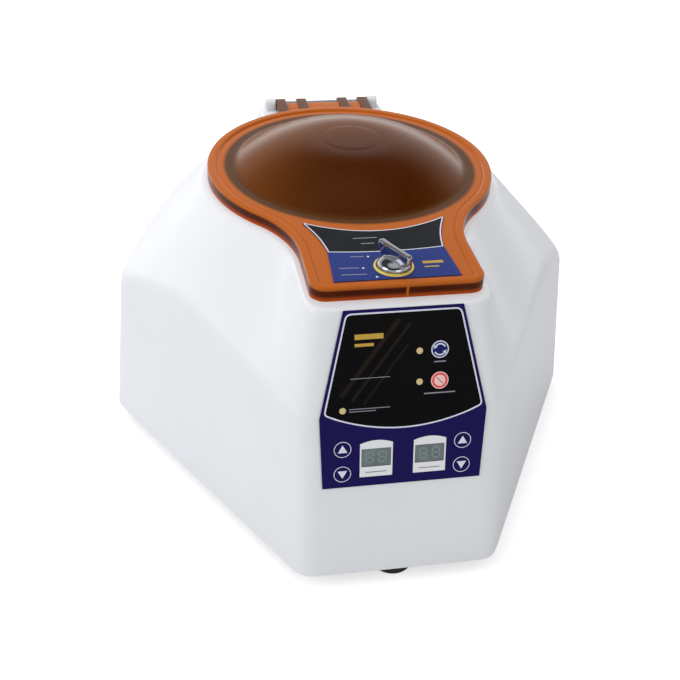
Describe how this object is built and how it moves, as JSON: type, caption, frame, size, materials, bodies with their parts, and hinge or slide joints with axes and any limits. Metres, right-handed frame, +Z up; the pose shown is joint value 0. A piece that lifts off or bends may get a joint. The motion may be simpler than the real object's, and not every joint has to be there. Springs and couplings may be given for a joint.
{
  "type": "butterfat centrifuge",
  "caption": "Bench centrifuge for butterfat tests: faceted white housing, hinged amber domed lid with a turn latch, front keys and displays, angle rotor in a steel chamber.",
  "frame": {"origin": "on the bench, at the middle of the footprint", "axes": "+Z up, +Y to the back, the keys and displays face -Y"},
  "size_m": [0.3596, 0.376, 0.2205],
  "materials": {
    "white_abs": "satin",
    "amber_acrylic": "gloss",
    "panel_print": "printed film",
    "lid_print": "printed film",
    "run_print": "printed film",
    "stop_print": "printed film",
    "arrow_print": "printed film",
    "lamp_lens": "clear lens",
    "display_glass": "display window",
    "circuit_board": "solder mask",
    "stainless_steel": "drawn",
    "zinc_plate": "zinc plated",
    "black_rubber": "moulded",
    "cast_aluminium": "cast",
    "black_nylon": "moulded",
    "motor_paint": "satin",
    "powder_coat": "powder coat",
    "chrome_plate": "polished",
    "yellow_ring": "gloss",
    "switch_red": "gloss"
  },
  "bodies": {
    "base": {"housing": "white_abs", "panel_label": "panel_print", "run_lamp": "lamp_lens", "stop_lamp": "lamp_lens", "lid_lamp": "lamp_lens", "time_display": "display_glass", "speed_display": "display_glass", "key_board": "circuit_board", "display_board": "circuit_board", "hinge_pin": "stainless_steel", "strike_plate": "stainless_steel", "lock_solenoid": "black_nylon", "chamber_bowl": "stainless_steel", "chamber_gasket": "black_rubber", "shaft_boot": "black_rubber", "motor": "motor_paint", "motor_plate": "zinc_plate", "isolator_1": "black_rubber", "isolator_2": "black_rubber", "isolator_3": "black_rubber", "base_plate": "powder_coat", "base_screw_front_right": "zinc_plate", "base_screw_front_left": "zinc_plate", "base_screw_rear_right": "zinc_plate", "base_screw_rear_left": "zinc_plate", "foot_front": "black_rubber", "foot_rear_right": "black_rubber", "foot_rear_left": "black_rubber", "power_inlet": "black_nylon", "switch_frame": "black_nylon"},
    "lid": {"lid": "amber_acrylic", "lid_label": "lid_print", "latch_ring": "yellow_ring"},
    "latch": {"latch_knob": "chrome_plate", "latch_cam": "zinc_plate"},
    "rotor": {"rotor": "cast_aluminium", "rotor_nut": "black_nylon", "rotor_shaft": "stainless_steel", "tube_shield_1": "stainless_steel", "tube_shield_2": "stainless_steel", "tube_shield_3": "stainless_steel", "tube_shield_4": "stainless_steel", "tube_shield_5": "stainless_steel", "tube_shield_6": "stainless_steel"},
    "plunger": {"lock_plunger": "stainless_steel"},
    "rocker": {"power_switch": "switch_red"},
    "fuse": {"fuse_drawer": "black_nylon"},
    "run_key_body": {"run_key": "run_print"},
    "stop_key_body": {"stop_key": "stop_print"},
    "time_up_key_body": {"time_up_key": "arrow_print"},
    "time_down_key_body": {"time_down_key": "arrow_print"},
    "speed_up_key_body": {"speed_up_key": "arrow_print"},
    "speed_down_key_body": {"speed_down_key": "arrow_print"}
  },
  "joints": [
    {"name": "lid_hinge", "type": "hinge", "parent": "base", "child": "lid", "pos_m": [0, 0.1653, 0.1945], "axis": [-1, 0, 0], "range_deg": [0, 95]},
    {"name": "latch_turn", "type": "hinge", "parent": "lid", "child": "latch", "pos_m": [0, -0.1117, 0.2005], "axis": [0, 0, 1], "range_deg": [0, 60]},
    {"name": "rotor_spin", "type": "hinge", "parent": "base", "child": "rotor", "pos_m": [0, 0.038, 0.104], "axis": [0, 0, 1], "continuous": true},
    {"name": "plunger_slide", "type": "slide", "parent": "base", "child": "plunger", "axis": [0, -1, 0], "range_m": [0, 0.004], "stiffness_N_per_m": 150},
    {"name": "switch_rock", "type": "hinge", "parent": "base", "child": "rocker", "pos_m": [-0.036, 0.18255, 0.07792], "axis": [-1, 0, 0], "range_deg": [0, 18]},
    {"name": "fuse_slide", "type": "slide", "parent": "base", "child": "fuse", "axis": [0, 0.9979, 0.0643], "range_m": [0, 0.012]},
    {"name": "run_key_press", "type": "slide", "parent": "base", "child": "run_key_body", "axis": [0, 0.9497, -0.3132], "range_m": [0, 0.0005], "stiffness_N_per_m": 500},
    {"name": "stop_key_press", "type": "slide", "parent": "base", "child": "stop_key_body", "axis": [0, 0.9497, -0.3132], "range_m": [0, 0.0005], "stiffness_N_per_m": 500},
    {"name": "time_up_key_press", "type": "slide", "parent": "base", "child": "time_up_key_body", "axis": [0, 0.9799, -0.1994], "range_m": [0, 0.0005], "stiffness_N_per_m": 500},
    {"name": "time_down_key_press", "type": "slide", "parent": "base", "child": "time_down_key_body", "axis": [0, 0.9799, -0.1994], "range_m": [0, 0.0005], "stiffness_N_per_m": 500},
    {"name": "speed_up_key_press", "type": "slide", "parent": "base", "child": "speed_up_key_body", "axis": [0, 0.9799, -0.1994], "range_m": [0, 0.0005], "stiffness_N_per_m": 500},
    {"name": "speed_down_key_press", "type": "slide", "parent": "base", "child": "speed_down_key_body", "axis": [0, 0.9799, -0.1994], "range_m": [0, 0.0005], "stiffness_N_per_m": 500}
  ]
}
